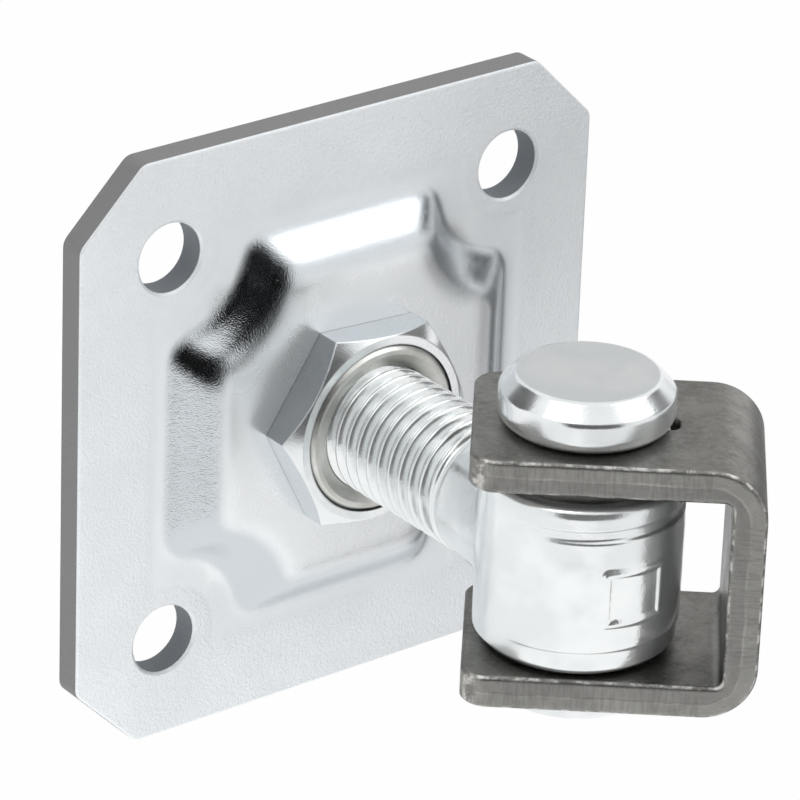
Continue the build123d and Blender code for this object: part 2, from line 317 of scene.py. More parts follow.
# %% [markdown]
# The columns of the eye stand closer where the frame's sides are, because a step needs several
# points across it. The frame comes from a rounded rectangle's distance: one smooth step raises
# all that lies inside it, and a second step, a rim's width further in, lowers the middle again.
# The slight unevenness of a forging is a sum of three slow waves, a few hundredths of a
# millimetre deep.

# %% Columns round the eye
pad_angle = np.radians(-97.0)
pad_half = np.array([5.0, 4.5]) * mm
pad_height = -0.9 * mm
half_angle = pad_half[0] / eye_radius
fine = np.radians(5.0)
marks = pad_angle + np.array([
    -half_angle - fine, -half_angle + fine, half_angle - fine, half_angle + fine,
])
azimuth = np.concatenate([
    np.linspace(marks[0], marks[1], 22, endpoint=False),
    np.linspace(marks[1], marks[2], 12, endpoint=False),
    np.linspace(marks[2], marks[3], 22, endpoint=False),
    np.linspace(marks[3], marks[0] + 2 * np.pi, 150, endpoint=False),
])
print(f"{len(azimuth)} columns, the closest {np.degrees(np.diff(azimuth).min()):.2f} degrees apart")

# %% Height of the raised frame
pad_rise = 0.36 * mm
pad_corner = 0.8 * mm
pad_softness = 0.7 * mm
rim_width = 1.0 * mm
rim_drop = 0.7


def frame_rise(height, angle):
    """The rise times a smooth step of the distance in from a rounded rectangle's edge, lowered
    again by the same step a rim's width further in."""
    across = (np.mod(angle - pad_angle + np.pi, 2 * np.pi) - np.pi) * eye_radius
    wide = np.abs(across) - pad_half[0]
    tall = np.abs(height - pad_height) - pad_half[1]
    beyond = np.maximum(wide + pad_corner, 0)
    above = np.maximum(tall + pad_corner, 0)
    corner_gap = np.sqrt(beyond**2 + above**2) - pad_corner
    inward = -np.where((beyond > 0) & (above > 0), corner_gap, np.maximum(wide, tall))
    rim = smooth_step(inward / pad_softness + 0.5)
    return pad_rise * rim * (1 - rim_drop * smooth_step((inward - rim_width) / pad_softness + 0.5))


middle_rise = frame_rise(pad_height, pad_angle)
print(f"the frame's rim stands {pad_rise / mm:.2f} mm proud, its middle {middle_rise / mm:.2f} mm")

# %% Skin of the eye
wave_height = 0.012 * mm


def off_centre(radius, angle):
    """Radius from the pin's axis of a circle whose centre is cut_offset nearer the wall."""
    return cut_offset * np.sin(angle) + np.sqrt(radius**2 - (cut_offset * np.cos(angle)) ** 2)


def eye_skin(radius, height, angle):
    """The smaller of the profile and the off-centre cuts, plus the frame and a slight unevenness."""
    skin = np.broadcast_to(radius, (len(radius), len(angle[0]))).copy()
    for low, high, cut_radius in (lower_cut, groove_cut):
        inside = smooth_step((height - low) / step_softness) * smooth_step((high - height) / step_softness)
        skin -= np.maximum(0, skin - off_centre(cut_radius, angle)) * inside
    skin += frame_rise(height, angle) * (radius > eye_radius - 1e-6)
    waves = np.sin(3 * angle + 900 * height) + np.sin(5 * angle - 600 * height + 1.3) + np.sin(2 * angle + 2.1)
    return skin + wave_height * waves * (radius > eye_bore + 1 * mm)


eye_r = eye_skin(profile[:, :1], profile[:, 1:], azimuth[None, :])
eye_z = np.broadcast_to(profile[:, 1:], eye_r.shape)
print(f"eye: {eye_r.shape[0]} rings of {eye_r.shape[1]} points")
eye_rings = np.stack([eye_x + eye_r * np.cos(azimuth), eye_y + eye_r * np.sin(azimuth), eye_z], axis=-1)
eyebolt_forging = piece_from_shells("eyebolt_forging", [stud_shell, shell(eye_rings, joined=True)])
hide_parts("eyebolt")
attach(eyebolt_forging, "eyebolt_side")

# %% [markdown]
# ## Nodes with fewer words
#
# Every finish below is a small tree of shader nodes. Building each node takes several lines,
# so one helper adds a node, sets its options and feeds its inputs, with either a plain value
# or another node's output. Effects that several finishes share are node groups with named
# sockets, as they would be made by hand in the editor.


# %% Add a node and feed it
def add(tree, kind, options=None, **feeds):
    """Add a node; a feed's name is the input's name in lower case, or in_ and its number."""
    node = tree.nodes.new(kind)
    for option, value in (options or {}).items():
        setattr(node, option, value)
    named = {socket.name.lower().replace(" ", "_"): socket for socket in reversed(list(node.inputs))}
    for name, value in feeds.items():
        socket = node.inputs[int(name[3:])] if name.startswith("in_") else named[name]
        if isinstance(value, bpy.types.NodeSocket):
            tree.links.new(value, socket)
        else:
            socket.default_value = value
    return node


def arithmetic(tree, operation, *values, clamp=False):
    """One Math node and its result."""
    feeds = {f"in_{number}": value for number, value in enumerate(values)}
    return add(tree, "ShaderNodeMath", {"operation": operation, "use_clamp": clamp}, **feeds).outputs[0]


def ramp(tree, value, low, high, to_low=0.0, to_high=1.0):
    """Map a value smoothly from low..high to another range."""
    return add(
        tree, "ShaderNodeMapRange", {"interpolation_type": "SMOOTHSTEP"},
        in_0=value, in_1=low, in_2=high, in_3=to_low, in_4=to_high,
    ).outputs[0]


print("node helpers: add, arithmetic, ramp")


# %% Helpers for colours and vectors
def mix_colour(tree, factor, first, second):
    """Blend two colours by a factor."""
    blend = add(tree, "ShaderNodeMix", {"data_type": "RGBA"}, in_0=factor, in_6=first, in_7=second)
    return blend.outputs[2]


def vector_math(tree, operation, *values):
    """One Vector Math node; its result is a number for DOT_PRODUCT and LENGTH, else a vector."""
    feeds = {f"in_{number}": value for number, value in enumerate(values)}
    node = add(tree, "ShaderNodeVectorMath", {"operation": operation}, **feeds)
    return node.outputs["Value" if operation in ("DOT_PRODUCT", "LENGTH") else "Vector"]


def parts_of(tree, vector):
    """The three parts of a vector."""
    return add(tree, "ShaderNodeSeparateXYZ", vector=vector).outputs


print("more helpers: mix_colour, vector_math, parts_of")


# %% Helpers for normals, places and feeds
def surface_normal(tree):
    """The surface's own normal."""
    return add(tree, "ShaderNodeNewGeometry").outputs["Normal"]


def object_place(tree):
    """Object coordinates, in metres."""
    return add(tree, "ShaderNodeTexCoord").outputs["Object"]


def feed_of(node, name):
    """The socket that feeds a node's input now."""
    return node.inputs[name].links[0].from_socket


print("more helpers: surface_normal, object_place, feed_of")


# %% Helpers for noise and node groups
def noise(tree, place, size_mm, detail=2.0, roughness=0.5, distortion=0.0):
    """Noise whose features are about size_mm across; size_mm is a number or a socket."""
    if isinstance(size_mm, bpy.types.NodeSocket):
        scale = arithmetic(tree, "DIVIDE", 1000.0, size_mm)
    else:
        scale = 1000.0 / size_mm
    options = {"noise_dimensions": "3D"}
    return add(
        tree, "ShaderNodeTexNoise", options,
        vector=place, scale=scale, detail=detail, roughness=roughness, distortion=distortion,
    ).outputs[0]


def effect(name, inputs, outputs):
    """A new shader node group with float or vector sockets; returns its tree and end nodes."""
    tree = bpy.data.node_groups.new(name, "ShaderNodeTree")
    for label, kind, value in inputs:
        tree.interface.new_socket(label, in_out="INPUT", socket_type=kind).default_value = value
    for label, kind in outputs:
        tree.interface.new_socket(label, in_out="OUTPUT", socket_type=kind)
    return tree, tree.nodes.new("NodeGroupInput"), tree.nodes.new("NodeGroupOutput")


def use(tree, group, **feeds):
    """Place a node group in a tree."""
    return add(tree, "ShaderNodeGroup", {"node_tree": group}, **feeds)


print("last helpers: noise, effect, use")

# %% [markdown]
# ## The skin of plated sheet
#
# Zinc on pressed sheet isn't a mirror. It has the steel's orange peel, a few tenths of a
# millimetre across, and a finer grain that breaks dark reflections into specks. Two noise
# textures on object coordinates give a height for a Bump node, and the finer one also
# scatters the roughness. They are in millimetres, so the scale reads as a size.

# %% Effect: plated skin
FLOAT = "NodeSocketFloat"
plated_skin, skin_in, skin_out = effect(
    "plated_skin",
    [
        ("Peel size", FLOAT, 1.2), ("Peel height", FLOAT, 0.4),
        ("Grain size", FLOAT, 0.25), ("Grain height", FLOAT, 0.2),
    ],
    [("Height", FLOAT), ("Grain", FLOAT), ("Cloud", FLOAT)],
)
skin_place = object_place(plated_skin)
peel = noise(plated_skin, skin_place, skin_in.outputs["Peel size"])
grain = noise(plated_skin, skin_place, skin_in.outputs["Grain size"], detail=1.0)
cloud = noise(plated_skin, skin_place, 14.0, detail=3.0, roughness=0.6)
peel_part = arithmetic(plated_skin, "MULTIPLY", peel, skin_in.outputs["Peel height"])
grain_part = arithmetic(plated_skin, "MULTIPLY", grain, skin_in.outputs["Grain height"])
plated_skin.links.new(arithmetic(plated_skin, "ADD", peel_part, grain_part), skin_out.inputs["Height"])
plated_skin.links.new(grain, skin_out.inputs["Grain"])
plated_skin.links.new(cloud, skin_out.inputs["Cloud"])
print("effect plated_skin:", len(plated_skin.nodes), "nodes")

# %% [markdown]
# ## Worn edges, and painted shade on the plate's rims
#
# Handling polishes an edge before anything else. A Bevel node gives the normal that a rounded
# edge would have, and where it differs from the real normal there is an edge, seen from
# anywhere. The group turns that difference into a mask, breaks it up with noise, and passes
# the softened normal on for the Bump node to start from. On most zinc the mask brightens worn
# edges. On the plate it darkens the rims, a painted shade that dims their highlight.

# %% Effect: worn edge
worn_edge, edge_in, edge_out = effect(
    "worn_edge",
    [("Width mm", FLOAT, 0.3), ("Break up", FLOAT, 0.5)],
    [("Mask", FLOAT), ("Soft normal", "NodeSocketVector")],
)
edge_radius = arithmetic(worn_edge, "MULTIPLY", edge_in.outputs["Width mm"], mm)
soft_normal = add(worn_edge, "ShaderNodeBevel", {"samples": 6}, radius=edge_radius).outputs[0]
alike = vector_math(worn_edge, "DOT_PRODUCT", soft_normal, surface_normal(worn_edge))
difference = arithmetic(worn_edge, "SUBTRACT", 1.0, alike)
edge_noise = noise(worn_edge, object_place(worn_edge), 1.5, detail=3.0)
edge_break = arithmetic(worn_edge, "MULTIPLY", edge_noise, edge_in.outputs["Break up"])
edge_low = arithmetic(worn_edge, "MULTIPLY", edge_break, 0.12)
edge_high = arithmetic(worn_edge, "ADD", edge_low, 0.10)
worn_edge.links.new(ramp(worn_edge, difference, edge_low, edge_high), edge_out.inputs["Mask"])
worn_edge.links.new(soft_normal, edge_out.inputs["Soft normal"])
print("effect worn_edge:", len(worn_edge.nodes), "nodes")

# %% [markdown]
# ## Bright zinc
#
# All zinc here is one kind of finish, blue-passivated electroplate: a metal of a pale, barely
# blue grey. Sheet, turned and forged pieces differ in how smooth they are, so one function
# makes each of them from a few numbers. Tint, roughness and bump vary over the surface. Edges
# take a tint of their own, a little brighter from wear on most pieces and darker on the plate,
# where it is a painted shade that dims the highlight on the rims. A thin white haze lies on the
# plating, so the metallic share stays a little under 1 where a piece isn't polished.

# %% Finish: bright zinc
def zinc(
    name, pale, shade, smooth, rough, peel=(1.2, 0.4), grain=(0.25, 0.2), strength=0.3,
    edge_mm=0.3, rim_wear_and_shade_tint=(0.90, 0.91, 0.92, 1), edge_rough=0.0, mirror=1.0,
):
    """Electroplated zinc whose tint runs from shade to pale and roughness from smooth to rough."""
    finish = bpy.data.materials.new(name)
    finish.use_nodes = True
    tree = finish.node_tree
    shader = tree.nodes["Principled BSDF"]
    skin = use(
        tree, plated_skin,
        peel_size=peel[0], peel_height=peel[1], grain_size=grain[0], grain_height=grain[1],
    )
    edges = use(tree, worn_edge, width_mm=edge_mm)
    mottle = ramp(tree, skin.outputs["Cloud"], 0.35, 0.68)
    tint = mix_colour(tree, mottle, shade, pale)
    # At the edges the tint turns to the edge tint. On most pieces that is brighter wear, and on the plate it
    # is a darker painted shade on the rims.
    edge_toned_tint = mix_colour(tree, edges.outputs["Mask"], tint, rim_wear_and_shade_tint)
    speckle = arithmetic(tree, "MULTIPLY_ADD", skin.outputs["Grain"], 0.35, mottle)
    gloss = ramp(tree, speckle, 0.1, 1.1, rough, smooth)
    gloss = arithmetic(tree, "MULTIPLY_ADD", edges.outputs["Mask"], edge_rough, gloss)
    bump = add(
        tree, "ShaderNodeBump",
        strength=strength, distance=0.1 * mm,
        height=skin.outputs["Height"], normal=edges.outputs["Soft normal"],
    )
    tree.links.new(edge_toned_tint, shader.inputs["Base Color"])
    tree.links.new(gloss, shader.inputs["Roughness"])
    tree.links.new(bump.outputs[0], shader.inputs["Normal"])
    shader.inputs["Metallic"].default_value = mirror
    return finish


print("finish function: zinc")

# %% Finishes: forged, turned and nut zinc, and spring steel
zinc_forged = zinc(
    "zinc_forged", (0.91, 0.93, 0.93, 1), (0.82, 0.85, 0.855, 1), 0.14, 0.26,
    peel=(2.0, 1.0), grain=(0.35, 0.3), strength=0.4, edge_mm=0.2, mirror=0.82,
)
zinc_turned = zinc(
    "zinc_turned", (0.90, 0.92, 0.925, 1), (0.78, 0.81, 0.82, 1), 0.14, 0.24,
    peel=(1.6, 0.5), grain=(0.3, 0.4), strength=0.32, edge_mm=0.35, mirror=0.88,
)
zinc_nut = zinc(
    "zinc_nut", (0.90, 0.92, 0.925, 1), (0.82, 0.85, 0.86, 1), 0.15, 0.24,
    peel=(1.8, 0.4), grain=(0.3, 0.5), strength=0.25, edge_mm=0.35, mirror=0.88,
)
spring_steel = zinc(
    "spring_steel", (0.30, 0.31, 0.33, 1), (0.20, 0.21, 0.22, 1), 0.22, 0.36,
    peel=(1.0, 0.3), grain=(0.2, 0.2), strength=0.2, edge_mm=0.15,
)
print("zinc finishes:", zinc_forged.name, zinc_turned.name, zinc_nut.name, spring_steel.name)

# %% [markdown]
# ## The nut's flats
#
# The nut is turned from drawn hexagon bar. Its face and chamfer are freshly cut, and its six
# flats keep the bar's drawn skin, which the plating leaves darker. The flats are parallel to
# the stud, so the part of their normal along Y is nearly nothing, and a ramp finds them.

# %% Darken the nut's flats
flat_tint = (0.66, 0.70, 0.73, 1)
nut_tree = zinc_nut.node_tree
nut_shader = nut_tree.nodes["Principled BSDF"]
nut_along = arithmetic(nut_tree, "ABSOLUTE", parts_of(nut_tree, surface_normal(nut_tree))[1])
on_flat = ramp(nut_tree, nut_along, 0.3, 0.1)
nut_colour = mix_colour(nut_tree, on_flat, feed_of(nut_shader, "Base Color"), flat_tint)
nut_tree.links.new(nut_colour, nut_shader.inputs["Base Color"])
print("nut:", len(nut_tree.nodes), "nodes")

# %% [markdown]
# ## The plate's sheet
#
# The plate is the largest surface, and it isn't the same all over. Where the sheet was only
# rolled, it keeps a dull, dimpled skin. Where the die pressed it, the slopes are burnished
# nearly to a mirror and the raised middle is in between. The sheared edges are duller and
# darker than all of these, partly their own colour and partly painted shade. The walls of the
# holes are darker still, a painted shade of the hollow and of the dark it reflects. Object
# coordinates and normals tell the zones apart, so the finish stays one material: the plate lies
# in the plane of X and Z, and its holes are the same four times, so absolute values fold them
# onto one.

# %% Zones of the plate
# On the sheet the edge tint is darker, a painted shade that dims the highlight on the plate's rims.
zinc_sheet = zinc(
    "zinc_sheet", (0.84, 0.87, 0.89, 1), (0.81, 0.84, 0.86, 1), 0.16, 0.20,
    peel=(0.9, 0.5), grain=(0.22, 0.9), strength=0.85, edge_mm=0.4,
    rim_wear_and_shade_tint=(0.70, 0.71, 0.72, 1), edge_rough=0.15,
)
wall_bolts = next(mount for mount in frame["record"]["mounts"] if mount["name"] == "wall_bolts")
hole_spacing = wall_bolts["dims"]["spacing_x_mm"] * mm
hole_radius = wall_bolts["dims"]["hole_r_mm"] * mm
sheet_tree = zinc_sheet.node_tree
sheet_shader = sheet_tree.nodes["Principled BSDF"]
sheet_place = object_place(sheet_tree)
folded = vector_math(sheet_tree, "ABSOLUTE", sheet_place)
from_hole = vector_math(sheet_tree, "SUBTRACT", folded, (hole_spacing / 2, 0, hole_spacing / 2))
hole_distance = vector_math(sheet_tree, "LENGTH", vector_math(sheet_tree, "MULTIPLY", from_hole, (1, 0, 1)))
spread = parts_of(sheet_tree, folded)
from_middle = arithmetic(sheet_tree, "MAXIMUM", spread[0], spread[2])
near_form = ramp(sheet_tree, from_middle, 36 * mm, 33 * mm)
off_holes = ramp(sheet_tree, hole_distance, hole_radius + 2 * mm, hole_radius + 4 * mm)
pressed = arithmetic(sheet_tree, "MULTIPLY", near_form, off_holes)
middle_share = 0.6
middle = ramp(sheet_tree, from_middle, 27 * mm, 23 * mm, 0.0, middle_share)
print(f"bolt holes: {hole_spacing / mm:.0f} mm apart, {2 * hole_radius / mm:.0f} mm wide")

# %% [markdown]
# A press draws the sheet over round edges, and the eye sees them mostly in how reflections
# bend. A second Bevel node of 4 mm gives the pressed form that softness, without touching the
# measured mesh. The slopes are found with the softened normal: the more it leans away from Y,
# the more that place was burnished.

# %% Soft slopes of the pressed form
drawn_normal = add(sheet_tree, "ShaderNodeBevel", {"samples": 12}, radius=4.0 * mm).outputs[0]
sheet_bump = next(node for node in sheet_tree.nodes if node.type == "BUMP")
soft_blend = add(
    sheet_tree, "ShaderNodeMix", {"data_type": "VECTOR"},
    in_0=pressed, in_4=feed_of(sheet_bump, "Normal"), in_5=drawn_normal,
).outputs[1]
soft_unit = vector_math(sheet_tree, "NORMALIZE", soft_blend)
sheet_tree.links.new(soft_unit, sheet_bump.inputs["Normal"])
upright = arithmetic(sheet_tree, "ABSOLUTE", parts_of(sheet_tree, soft_unit)[1])
burnished = arithmetic(sheet_tree, "MULTIPLY", ramp(sheet_tree, upright, 0.995, 0.93), pressed)
polished = arithmetic(sheet_tree, "MAXIMUM", burnished, middle)
flat_middle = arithmetic(sheet_tree, "MULTIPLY", middle, arithmetic(sheet_tree, "SUBTRACT", 1.0, burnished))
print("plate's slopes:", len(sheet_tree.nodes), "nodes so far")

# %% Relief of the plate's skin
ironed = ramp(sheet_tree, pressed, 0.0, 1.0, 1.0, 0.5)
ironed_flat = ramp(sheet_tree, flat_middle, 0.0, middle_share, 1.0, 0.35)
ironed_height = arithmetic(sheet_tree, "MULTIPLY", feed_of(sheet_bump, "Height"), ironed)
ironed_height = arithmetic(sheet_tree, "MULTIPLY", ironed_height, ironed_flat)
dimples = noise(sheet_tree, sheet_place, 0.55, detail=2.0, roughness=0.6)
rolled_height = arithmetic(sheet_tree, "MULTIPLY", dimples, ramp(sheet_tree, pressed, 0.0, 1.0, 1.3, 0.0))
sheet_tree.links.new(arithmetic(sheet_tree, "ADD", ironed_height, rolled_height), sheet_bump.inputs["Height"])
print("plate's relief:", len(sheet_tree.nodes), "nodes so far")

# %% Colour, gloss and metal of the plate
# The cut edges' tint is their own duller colour, darkened further as painted shade. The holes' tint is a
# painted shade of the hollow and of the dark it reflects.
cut_tint = (0.27, 0.27, 0.275, 1)
hole_shade_tint = (0.23, 0.25, 0.27, 1)
middle_tint = (0.95, 0.97, 0.98, 1)
slope_tint = (0.66, 0.70, 0.73, 1)
rolled_haze = 0.26
cut_haze = 0.30
rolled_mirror = 0.35
facing_out = arithmetic(sheet_tree, "ABSOLUTE", parts_of(sheet_tree, surface_normal(sheet_tree))[1])
sheared = ramp(sheet_tree, facing_out, 0.35, 0.1)
in_hole = ramp(sheet_tree, hole_distance, hole_radius + 0.8 * mm, hole_radius + 0.3 * mm)
cut_and_hole_shade_tint = mix_colour(sheet_tree, in_hole, cut_tint, hole_shade_tint)
edge_colour = mix_colour(sheet_tree, sheared, feed_of(sheet_shader, "Base Color"), cut_and_hole_shade_tint)
middle_colour = mix_colour(sheet_tree, middle, edge_colour, middle_tint)
slope_colour = mix_colour(sheet_tree, burnished, middle_colour, slope_tint)
haze = ramp(sheet_tree, polished, 0.0, 1.0, rolled_haze, 0.0)
dull_gloss = arithmetic(sheet_tree, "ADD", feed_of(sheet_shader, "Roughness"), haze)
edge_gloss = arithmetic(sheet_tree, "MULTIPLY_ADD", sheared, cut_haze, dull_gloss)
sheet_tree.links.new(slope_colour, sheet_shader.inputs["Base Color"])
sheet_tree.links.new(edge_gloss, sheet_shader.inputs["Roughness"])
sheet_tree.links.new(ramp(sheet_tree, polished, 0.0, 1.0, rolled_mirror, 1.0), sheet_shader.inputs["Metallic"])
print("plate:", len(sheet_tree.nodes), "nodes")

# %% [markdown]
# ## The bracket's raw steel
#
# The bracket is hot-rolled flat bar, bent and left bare for welding. Its broad faces keep a
# thin grey mill scale, brushed along the bar, and its cut edges show how it was sheared: a
# smooth band where the blade went in, a rougher band where the bar broke, and a wavy bright
# line between them. Fine marks of the blade run across the cut. So the finish needs to know
# how deep a point lies and how far along the bar it is. The outer outline is a rounded
# rectangle, and its distance function gives the depth in the bracket's own directions. Along
# the arms the reach does for the second measure, and along the web the height does.

# %% Where the bar lies
weld_face = next(mount for mount in frame["record"]["mounts"] if mount["name"] == "gate_weld_face")
gate_way = Vector(weld_face["axis"])
gate_angle = np.arctan2(gate_way.y, gate_way.x)
gate_across = Vector((-gate_way.y, gate_way.x, 0))
bar_low, bar_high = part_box("gate_bracket")
pin_foot = Vector((eye_x, eye_y, 0))
web_reach = (Vector(weld_face["pos_m"]) - pin_foot).dot(gate_way)
bend_radius = 8.0 * mm
bar_half = Vector((web_reach, 0, (bar_high.z - bar_low.z) / 2))
bar_middle = Vector((0, 0, (bar_high.z + bar_low.z) / 2))
print(f"bracket: {np.degrees(gate_angle):.1f} degrees, web {web_reach / mm:.1f} mm from the pin")

# %% Effect: depth and run of the bar
bar_depth, _, depth_out = effect("bar_depth", [], [("Depth mm", FLOAT), ("Along mm", FLOAT)])
from_pin = vector_math(bar_depth, "SUBTRACT", object_place(bar_depth), pin_foot + bar_middle)
turned = add(
    bar_depth, "ShaderNodeVectorRotate", {"rotation_type": "Z_AXIS"},
    vector=from_pin, center=(0, 0, 0), angle=-gate_angle,
).outputs[0]
bar_parts = parts_of(bar_depth, turned)
reach = arithmetic(bar_depth, "SUBTRACT", bar_parts[0], bar_half.x - bend_radius)
off_middle = arithmetic(bar_depth, "ABSOLUTE", bar_parts[2])
rise = arithmetic(bar_depth, "SUBTRACT", off_middle, bar_half.z - bend_radius)
reach_out = arithmetic(bar_depth, "MAXIMUM", reach, 0.0)
rise_out = arithmetic(bar_depth, "MAXIMUM", rise, 0.0)
square = arithmetic(bar_depth, "MULTIPLY", reach_out, reach_out)
corner = arithmetic(bar_depth, "SQRT", arithmetic(bar_depth, "MULTIPLY_ADD", rise_out, rise_out, square))
inside = arithmetic(bar_depth, "MINIMUM", arithmetic(bar_depth, "MAXIMUM", reach, rise), 0.0)
distance = arithmetic(bar_depth, "SUBTRACT", arithmetic(bar_depth, "ADD", corner, inside), bend_radius)
bar_depth.links.new(arithmetic(bar_depth, "MULTIPLY", distance, -1000.0), depth_out.inputs["Depth mm"])
reach_in = arithmetic(bar_depth, "MINIMUM", reach, 0.0)
run = arithmetic(bar_depth, "SUBTRACT", reach_in, arithmetic(bar_depth, "MINIMUM", rise, 0.0))
bar_depth.links.new(arithmetic(bar_depth, "MULTIPLY", run, 1000.0), depth_out.inputs["Along mm"])
print("effect bar_depth:", len(bar_depth.nodes), "nodes")

# %% Raw steel: patterns of the mill scale
raw_steel = bpy.data.materials.new("raw_steel")
raw_steel.use_nodes = True
steel = raw_steel.node_tree
steel_shader = steel.nodes["Principled BSDF"]
steel_place = object_place(steel)
steel_turn = add(
    steel, "ShaderNodeVectorRotate", {"rotation_type": "Z_AXIS"},
    vector=steel_place, center=(0, 0, 0), angle=-gate_angle,
).outputs[0]
along_bar = add(steel, "ShaderNodeMapping", vector=steel_turn, scale=(0.12, 1.0, 0.12)).outputs[0]
brushed = noise(steel, along_bar, 0.7, detail=4.0, roughness=0.65)
scale_cloud = noise(steel, steel_place, 7.0, detail=5.0, roughness=0.65, distortion=0.6)
pits = noise(steel, steel_place, 0.8, detail=4.0, roughness=0.7)
fine_grain = noise(steel, steel_place, 0.3, detail=2.0)
arris_gaps = noise(steel, steel_place, 2.2, detail=4.0, roughness=0.7)
print("mill scale:", len(steel.nodes), "nodes")

# %% Raw steel: masks of the cut edge
depth = use(steel, bar_depth)
side_part = vector_math(steel, "DOT_PRODUCT", surface_normal(steel), gate_across)
side_facing = arithmetic(steel, "ABSOLUTE", side_part)
cut_side = ramp(steel, side_facing, 0.85, 0.97)
off_face = ramp(steel, side_facing, 0.35, 0.6)
off_cut = ramp(steel, side_facing, 0.97, 0.85)
# The arris tint is a bright edge between face and cut. It is partly wear through the mill scale and partly a
# painted highlight.
arris_wear_and_highlight = arithmetic(steel, "MULTIPLY", off_face, off_cut)
arris_wear_and_highlight = arithmetic(steel, "MULTIPLY", arris_wear_and_highlight, ramp(steel, arris_gaps, 0.44, 0.62))
line_at = 2.35
wave = arithmetic(steel, "MULTIPLY_ADD", noise(steel, steel_place, 5.0, detail=3.0), 0.9, -0.45)
line_depth = arithmetic(steel, "ADD", depth.outputs["Depth mm"], wave)
off_line = arithmetic(steel, "ABSOLUTE", arithmetic(steel, "SUBTRACT", line_depth, line_at))
line_gaps = ramp(steel, noise(steel, steel_place, 6.0, detail=2.0), 0.42, 0.62)
break_line = arithmetic(steel, "MULTIPLY", ramp(steel, off_line, 0.28, 0.05), cut_side)
break_line = arithmetic(steel, "MULTIPLY", break_line, line_gaps)
torn = arithmetic(steel, "MULTIPLY", ramp(steel, line_depth, 2.3, 2.6), cut_side)
across_cut = arithmetic(steel, "MULTIPLY", depth.outputs["Depth mm"], 0.12)
shear_place = add(steel, "ShaderNodeCombineXYZ", x=depth.outputs["Along mm"], y=across_cut).outputs[0]
shear_marks = add(steel, "ShaderNodeTexNoise", vector=shear_place, scale=2.2, detail=3.0).outputs[0]
marked = arithmetic(steel, "MULTIPLY", ramp(steel, shear_marks, 0.42, 0.62, 0.0, 0.28), cut_side)
print("cut edge:", len(steel.nodes), "nodes so far")

# %% Raw steel: tint
tint_steps = [
    (ramp(steel, pits, 0.42, 0.62, 0.0, 0.5), (0.30, 0.295, 0.28, 1)),
    (ramp(steel, brushed, 0.35, 0.75, 0.0, 0.25), (0.34, 0.33, 0.31, 1)),
    (arithmetic(steel, "MULTIPLY", cut_side, 0.75), (0.42, 0.415, 0.395, 1)),
    (arithmetic(steel, "MULTIPLY", torn, 0.5), (0.28, 0.275, 0.265, 1)),
    (arithmetic(steel, "MULTIPLY", break_line, 0.6), (0.50, 0.49, 0.47, 1)),
    (marked, (0.16, 0.158, 0.15, 1)),
    (arris_wear_and_highlight, (0.62, 0.61, 0.59, 1)),
]
scale_dark, scale_light = (0.150, 0.148, 0.138, 1), (0.250, 0.245, 0.230, 1)
steel_tint = mix_colour(steel, ramp(steel, scale_cloud, 0.3, 0.7), scale_dark, scale_light)
for share_of_tint, step_tint in tint_steps:
    steel_tint = mix_colour(steel, share_of_tint, steel_tint, step_tint)
steel.links.new(steel_tint, steel_shader.inputs["Base Color"])
print("tint:", len(tint_steps), "steps over the mill scale")

# %% Raw steel: gloss and relief
edges = use(steel, worn_edge, width_mm=0.7, break_up=0.8)
grain_part = arithmetic(steel, "MULTIPLY", fine_grain, 0.5)
steel_height = arithmetic(steel, "MULTIPLY_ADD", brushed, 0.2, grain_part)
steel_height = arithmetic(steel, "MULTIPLY_ADD", pits, 0.8, steel_height)
torn_height = arithmetic(steel, "MULTIPLY_ADD", torn, -0.35, steel_height)
steel_bump = add(
    steel, "ShaderNodeBump",
    strength=0.4, distance=0.1 * mm, height=torn_height, normal=edges.outputs["Soft normal"],
)
steel.links.new(ramp(steel, scale_cloud, 0.3, 0.7, 0.44, 0.32), steel_shader.inputs["Roughness"])
steel.links.new(steel_bump.outputs[0], steel_shader.inputs["Normal"])
steel_shader.inputs["Metallic"].default_value = 1.0
print("raw steel:", len(steel.nodes), "nodes")

# %% [markdown]
# ## Ring, washer and bushes
#
# The ring sunk in the nut's face is a warmer, duller metal than the zinc, turned on a lathe,
# with fine rings of its own. The thrust washer under the upper arm is dark and hardly shows,
# and the bushes are a plain bearing bronze. The rings are a sine of the distance from the
# piece's axis.


# %% Finish: turned metal
ring_spacing = 0.22 * mm


def turned_metal(name, light, dark, rough, centre, across):
    """Fine lathe rings round an axis through centre; across names the two axes that span them."""
    finish = bpy.data.materials.new(name)
    finish.use_nodes = True
    tree = finish.node_tree
    shader = tree.nodes["Principled BSDF"]
    place = object_place(tree)
    centred = add(tree, "ShaderNodeMapping", vector=place, location=[-side for side in centre]).outputs[0]
    radius = vector_math(tree, "LENGTH", vector_math(tree, "MULTIPLY", centred, across))
    rings = arithmetic(tree, "SINE", arithmetic(tree, "MULTIPLY", radius, 2 * np.pi / ring_spacing))
    cloud = noise(tree, place, 4.0, detail=3.0)
    speck = noise(tree, place, 0.35, detail=2.0)
    tint = mix_colour(tree, ramp(tree, cloud, 0.3, 0.7), dark, light)
    height = arithmetic(tree, "MULTIPLY_ADD", rings, 0.12, speck)
    edges = use(tree, worn_edge, width_mm=0.2)
    bump = add(
        tree, "ShaderNodeBump",
        strength=0.3, distance=0.05 * mm, height=height, normal=edges.outputs["Soft normal"],
    )
    tree.links.new(tint, shader.inputs["Base Color"])
    tree.links.new(ramp(tree, speck, 0.2, 0.8, rough - 0.06, rough + 0.06), shader.inputs["Roughness"])
    tree.links.new(bump.outputs[0], shader.inputs["Normal"])
    shader.inputs["Metallic"].default_value = 1.0
    return finish


print(f"turned metal: rings {ring_spacing / mm:.2f} mm apart")

